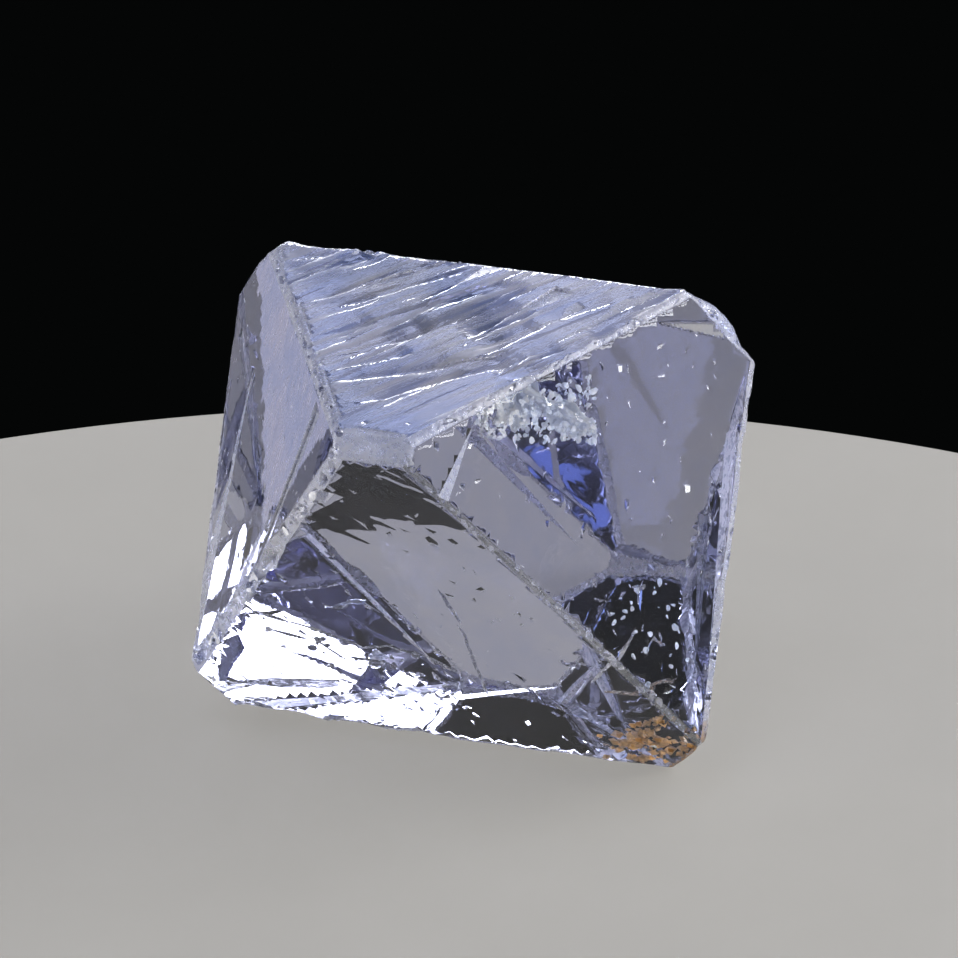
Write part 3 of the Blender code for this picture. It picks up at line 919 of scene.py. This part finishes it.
NICKS = {  # lines, spacing, spread, smallest and largest radius in mm, stretch, seed
    "small": ([edge_line(*pair) for pair in EDGES], 0.34, 0.12, 0.05, 0.20, 2.4, 3),
    "rough": ([edge_line(*pair) for pair in (
        ("front_left", "front_lower"), ("rest", "front_lower"), ("front_lower", "back_right"))],
        0.60, 0.24, 0.14, 0.46, 2.2, 8),
    "crumbled": ([(Vector((6.9, -4.0, 1.2)), Vector((9.3, -4.2, 1.5)))], 0.016, 0.80, 0.08, 0.26, 1.3, 5),
    "crumbled_above": ([(Vector((7.6, -4.4, 2.2)), Vector((9.0, -4.8, 3.4)))], 0.045, 0.45, 0.08, 0.22, 1.3, 6),
}


def nicks_along(name, lines, spacing, spread, smallest, largest, stretch, seed):
    """The lumps along these lines as one object."""
    mesh = bpy.data.meshes.new(f"nicks_{name}")
    mesh.from_pydata([end for line in lines for end in line], [(2 * k, 2 * k + 1) for k in range(len(lines))], [])
    lumps = link_object(f"nicks_{name}", mesh)
    run_tree(lumps, nicks_tree(), {
        "Spacing": spacing, "Spread": spread, "Smallest": smallest, "Largest": largest,
        "Stretch": stretch, "Seed": seed,
        "Material": stained_fluorite if name.startswith("crumbled") else worn_fluorite})
    lumps.data.transform(Matrix.Scale(MM, 4))
    return lumps


for name, values in NICKS.items():
    lumps = nicks_along(name, *values)
    print(name, "nicks:", len(lumps.data.polygons) // 8)
    cutters.append(lumps)

# %% [markdown]
# ## Pits and scratches
# The faces carry small pits and short scratches from handling. They are scattered at
# random with Geometry Nodes over the faces that look up or forward: a flat lump on each
# point, some stretched into a dash. Cut out, they are a few hundredths of a millimetre deep.

# %% Scatter the pits
def pits_tree():
    """Flat lumps scattered over the faces of a mesh, longer in one direction."""
    tree, given = new_geometry_tree("scattered_pits", {
        "Density": ("NodeSocketFloat", 0.5), "Smallest": ("NodeSocketFloat", 0.03),
        "Largest": ("NodeSocketFloat", 0.08), "Longest": ("NodeSocketFloat", 5.0),
        "Depth": ("NodeSocketFloat", 0.03), "Spin": ("NodeSocketFloat", 3.1),
        "Seed": ("NodeSocketInt", 1), "Material": ("NodeSocketMaterial", None)})
    points = add_node(tree, "GeometryNodeDistributePointsOnFaces", {
        "Mesh": given["Geometry"], "Density": given["Density"], "Seed": given["Seed"]})
    lump = add_node(tree, "GeometryNodeMeshUVSphere", {"Segments": 5, "Rings": 2, "Radius": 1.0})
    width = add_node(tree, "FunctionNodeRandomValue", {
        2: given["Smallest"], 3: given["Largest"], "Seed": given["Seed"]}, data_type="FLOAT")
    stretch = add_node(tree, "FunctionNodeRandomValue", {
        2: 1.0, 3: given["Longest"], "Seed": given["Seed"]}, data_type="FLOAT")
    long = add_node(tree, "ShaderNodeMath", {0: width.outputs[1], 1: stretch.outputs[1]}, operation="MULTIPLY")
    scale = add_node(tree, "ShaderNodeCombineXYZ", {
        "X": long.outputs[0], "Y": width.outputs[1], "Z": given["Depth"]})
    least = add_node(tree, "ShaderNodeMath", {0: given["Spin"], 1: -1.0}, operation="MULTIPLY")
    spin = add_node(tree, "FunctionNodeRandomValue", {
        2: least.outputs[0], 3: given["Spin"], "Seed": given["Seed"]}, data_type="FLOAT")
    turn = add_node(tree, "ShaderNodeCombineXYZ", {"Z": spin.outputs[1]})
    rotation = add_node(tree, "FunctionNodeRotateRotation", {
        "Rotation": points.outputs["Rotation"], "Rotate By": turn.outputs[0]}, rotation_space="LOCAL")
    instances = add_node(tree, "GeometryNodeInstanceOnPoints", {
        "Points": points.outputs["Points"], "Instance": lump.outputs[0],
        "Rotation": rotation.outputs[0], "Scale": scale.outputs[0]})
    finish_tree(tree, instances.outputs[0], given["Material"])
    return tree


PITS = {  # face, pits per mm2, smallest and largest half width, longest stretch, depth, spin, seed
    "front_right": (0.55, 0.018, 0.045, 7.0, 0.030, 3.1, 71),
    "front_lower": (0.55, 0.018, 0.045, 7.0, 0.030, 3.1, 72),
    "front_left": (0.9, 0.02, 0.05, 5.0, 0.030, 3.1, 73),
    "top": (0.7, 0.02, 0.05, 5.0, 0.035, 3.1, 74),
}


def face_outline(face):
    """The outline of a face's flat part in mm, as one polygon."""
    local = [frames[face].inverted() @ Vector(corner) for corner in corners]
    flat = np.array([point[:2] for point in local if point.z > -0.01])
    centre = flat.mean(axis=0)
    angle = np.arctan2(*(flat - centre).T[::-1])
    sectors = np.floor((angle + np.pi) / (2 * np.pi) * 24).astype(int)
    rim = [max(flat[sectors == k], key=lambda p: np.hypot(*(p - centre))) for k in range(24) if (sectors == k).any()]
    return [frames[face] @ Vector((*point, 0)) for point in rim]


for face, (density, smallest, largest, longest, depth, spin, seed) in PITS.items():
    outline = face_outline(face)
    mesh = bpy.data.meshes.new(f"pits_{face}")
    mesh.from_pydata(outline, [], [list(range(len(outline)))])
    pits = run_tree(link_object(f"pits_{face}", mesh), pits_tree(), {
        "Density": density, "Smallest": smallest, "Largest": largest, "Longest": longest,
        "Depth": depth, "Spin": spin, "Seed": seed, "Material": worn_fluorite})
    pits.data.transform(Matrix.Scale(MM, 4))
    print("pits on", face, len(pits.data.polygons) // 10)
    cutters.append(pits)

# %% [markdown]
# ## Cracks inside
# Splits that didn't run through are left inside the crystal as thin gaps. Light that meets
# such a gap at a slant is mirrored by it, so it shows as a bright or dark flake. Each is
# a thin, wavy, closed lens that is cut out of the crystal.

# %% Cut the cracks
CRACK_THICKNESS = 0.012  # mm


def crack(name, centre, normal, turn, radii, wave, wave_size, seed, finish, spokes=28, rings=8, along=None):
    """A thin wavy lens in mm: its middle, the way it faces, and its two radii.

    The first radius runs the way that along gives, turned by the turn.
    """
    chance = np.random.default_rng(seed)
    normal = Vector(normal).normalized()
    side = (along - normal * along.dot(normal)).normalized() if along else normal.orthogonal().normalized()
    side = Matrix.Rotation(math.radians(turn), 3, normal) @ side
    axes = Matrix((side, normal.cross(side), normal)).transposed().to_4x4()
    frame_here = Matrix.Translation(Vector(centre)) @ axes
    angles = np.linspace(0, 2 * np.pi, spokes, endpoint=False)
    rim = 1 + 0.16 * np.sin(2 * angles + chance.uniform(0, 6)) + 0.10 * np.sin(5 * angles + chance.uniform(0, 6))
    rim += 0.06 * np.sin(9 * angles + chance.uniform(0, 6))
    shares = np.linspace(0, 1, rings + 1)[1:]
    x = np.outer(shares, rim * np.cos(angles)) * radii[0]
    y = np.outer(shares, rim * np.sin(angles)) * radii[1]
    z = wave * undulation(x, y, wave_size, wave_size, seed) + wave * 0.4 * undulation(x, y, wave_size * 0.4, wave_size * 0.4, seed + 1)
    half = CRACK_THICKNESS / 2 * np.repeat((1 - shares ** 2)[:, None], spokes, axis=1)
    middle_z = wave * undulation(np.zeros(1), np.zeros(1), wave_size, wave_size, seed)[0]
    points, faces = [], []
    for sign in (1, -1):
        first = len(points)
        points.append((0, 0, middle_z + sign * CRACK_THICKNESS / 2))
        for ring in range(rings - 1):
            points += list(zip(x[ring], y[ring], z[ring] + sign * half[ring]))
        if sign == 1:
            rim_first = len(points)
            points += list(zip(x[-1], y[-1], z[-1]))
        starts = [first + 1 + ring * spokes for ring in range(rings - 1)] + [rim_first]
        for k in range(spokes):
            after = (k + 1) % spokes
            faces.append([first, starts[0] + k, starts[0] + after][::sign])
            for near, far in zip(starts, starts[1:]):
                faces.append([near + k, far + k, far + after, near + after][::sign])
    mesh = bpy.data.meshes.new(name)
    mesh.from_pydata([tuple(float(c) for c in point) for point in points], [], faces)
    mesh.transform(Matrix.Scale(MM, 4) @ frame_here)
    mesh.materials.append(finish)
    return link_object(name, mesh)


CRACKS = (  # middle, way it faces, turn, radii, wave height and size in mm, seed
    # the long split just above the rest face, and its wide left end
    ((-6.9, -3.1, 2.0), (-0.06, 0.05, 1.0), 8.0, (2.5, 1.5), 0.03, 1.6, 301),
    ((0.6, -4.35, 2.95), (-0.12, 0.0, 1.0), 4.0, (5.6, 0.42), 0.03, 1.2, 302),
    # two wavy splits at the lower left
    ((-2.9, -5.6, 8.0), (-0.3, -0.1, 0.9), 0.0, (1.0, 0.35), 0.12, 0.50, 304),
    ((-2.4, -4.5, 4.7), (-0.4, -0.3, 0.8), 70.0, (0.9, 0.35), 0.12, 0.45, 307),
    # the cloudy veil under the edge between the top and the right face
    ((4.2, -3.4, 16.4), (0.1, 0.8, 0.6), 35.0, (2.4, 1.3), 0.16, 0.50, 313),
    ((3.4, -3.9, 16.6), (-0.9, 0.3, -0.2), 10.0, (1.3, 0.9), 0.16, 0.45, 314),
    ((5.2, -2.8, 15.4), (-0.2, 0.9, 0.3), 70.0, (1.4, 0.9), 0.14, 0.45, 315),
    # flakes in the dark lower part of the right face
    ((6.3, -4.4, 8.4), (0.0, 0.8, 0.6), 0.0, (0.35, 0.25), 0.08, 0.25, 316),
    ((7.4, -2.9, 8.1), (-0.3, 0.8, 0.5), 30.0, (0.30, 0.22), 0.08, 0.25, 317),
    ((7.0, -4.7, 6.0), (-0.8, 0.3, 0.2), 0.0, (1.3, 0.16), 0.06, 0.30, 318),
    ((7.8, -4.6, 4.7), (-0.5, 0.6, 0.4), 60.0, (1.5, 0.14), 0.06, 0.30, 319),
    ((8.1, -3.1, 5.8), (0.3, 0.8, 0.5), 20.0, (0.40, 0.24), 0.08, 0.25, 320),
)
BRUISED = (313, 314, 315)  # seeds of the splits whose walls are bruised white
for index, values in enumerate(CRACKS):
    finish = bruised_fluorite if values[-1] in BRUISED else feathered_fluorite
    cutters.append(crack(f"crack_{index}", *values, finish))
print("cracks:", len(CRACKS))

# %% [markdown]
# ### Flakes and a web of fine splits
# Some places hold so many small splits that they look like cloud: the veil below the edge
# of the top face, the lower left, and the dark window low on the right. There small flakes
# are strewn at random along a band. The fine wavy lines at the lower left are narrow splits
# that follow one another.

# %% Strew the flakes and draw the web
FLAKES = {  # face, ends of the band in (u, v), its half widths, how many, depths, radii, seed, finish
    "veil": ("front_right", ((-4.0, 5.9), (1.3, 4.1)), (0.5, 1.35), 320, (0.1, 0.9), (0.04, 0.19), 330, bruised_fluorite),
    "corner": ("front_lower", ((-7.2, -1.4), (0.8, -3.2)), (0.8, 1.2), 46, (0.2, 1.5), (0.06, 0.24), 331, feathered_fluorite),
    "window": ("front_right", ((1.2, -2.8), (0.9, -7.0)), (1.6, 1.2), 34, (0.3, 2.0), (0.04, 0.18), 332, bruised_fluorite),
}
WEB_FACE, WEB_DEPTH, WEB_HALF_WIDTH = "front_lower", 0.5, 0.09
WEB_LINES = (
    ((-7.6, 0.7), (-6.9, -0.1), (-5.6, -0.5), (-4.5, -0.7), (-3.0, -1.5), (-1.7, -1.3), (-0.3, -1.5), (0.9, -2.4)),
    ((1.1, 3.1), (1.6, 1.0), (1.6, -0.2), (1.8, -2.0), (1.9, -3.6)),
    ((-6.6, -1.2), (-5.0, -1.5), (-3.6, -2.4), (-2.0, -2.3)),
)


def strewn_flakes(name, face, ends, half_widths, count, depths, sizes, seed, finish):
    """Small wavy flakes at random in a band that runs between two points of a face."""
    chance = np.random.default_rng(seed)
    start, end = (Vector(point) for point in ends)
    across = (end - start).orthogonal().normalized()
    made = []
    for index in range(count):
        share = chance.uniform(0, 1)
        half_width = half_widths[0] * (1 - share) + half_widths[1] * share
        place = start.lerp(end, share) + across * chance.uniform(-half_width, half_width)
        centre = frames[face] @ Vector((*place, -chance.uniform(*depths)))
        normal = normals_of[face] + Vector(chance.uniform(-0.8, 0.8, 3))
        size = chance.uniform(*sizes)
        made.append(crack(f"crack_{name}_{index}", centre, normal, chance.uniform(0, 180),
                          (size, size * chance.uniform(0.5, 1.0)), 0.04, 0.15, seed + 10 * index, finish, 8, 2))
    return made


def web_line(name, points, seed):
    """Narrow wavy splits that follow one another along a line of (u, v) points."""
    chance = np.random.default_rng(seed)
    made = []
    for index, ends in enumerate(zip(points, points[1:])):
        start, end = (frames[WEB_FACE] @ Vector((*point, -WEB_DEPTH)) for point in ends)
        normal = normals_of[WEB_FACE] + Vector(chance.uniform(-0.5, 0.5, 3))
        made.append(crack(f"crack_{name}_{index}", (start + end) / 2, normal, 0.0,
                          (0.58 * (end - start).length, WEB_HALF_WIDTH), 0.07, 0.30,
                          seed + index, feathered_fluorite, 16, 3, end - start))
    return made


for name, values in FLAKES.items():
    cutters += strewn_flakes(name, *values)
for index, points in enumerate(WEB_LINES):
    cutters += web_line(f"web_{index}", points, 600 + 20 * index)
print("cutters in all:", len(cutters))

# %% [markdown]
# ## The crystal
# The rounded copy of the CAD mesh is cut with everything made above: first the slabs of
# the faces, edges and tips, then the lumps of the nicks and pits, and last the cracks. The
# Manifold solver copes with such fine meshes in little time and memory. The size and the
# place stay those of the CAD model.

# %% Cut the crystal
def tidy_mesh(mesh, fewest=6):
    """Drops doubled faces and the shells of less than a few faces that are left of them."""
    mesh.validate()
    bm = bmesh.new()
    bm.from_mesh(mesh)
    waiting, crumbs = set(bm.faces), []
    while waiting:
        shell = [waiting.pop()]
        for face in shell:
            beside = {other for edge in face.edges for other in edge.link_faces} & waiting
            waiting -= beside
            shell += beside
        if len(shell) < fewest:
            crumbs += shell
    bmesh.ops.delete(bm, geom=crumbs, context="FACES")
    bmesh.ops.delete(bm, geom=[vert for vert in bm.verts if not vert.link_faces], context="VERTS")
    open_edges = sum(1 for edge in bm.edges if len(edge.link_faces) != 2)
    bm.to_mesh(mesh)
    bm.free()
    return open_edges


slabs = [cutter for cutter in cutters if cutter.name.startswith("relief")]
gaps = [cutter for cutter in cutters if cutter.name.startswith("crack")]
lumps = [cutter for cutter in cutters if cutter not in slabs + gaps]
for group in [slabs, *[[cutter] for cutter in lumps], gaps]:
    name = group[0].name
    cut_with(crystal, group)
    print("cut with", name, "and its like:", len(crystal.data.polygons), "faces")
print("open edges:", tidy_mesh(crystal.data), "- still to mend:", crystal.data.validate())
crystal.data.calc_loop_triangles()
print("crystal:", len(crystal.data.loop_triangles), "triangles")

# %% Place the crystal in the frame
crystal.data.shade_smooth()
crystal.data.set_sharp_from_angle(angle=math.radians(22))
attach(crystal, "root")
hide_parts(NODE)
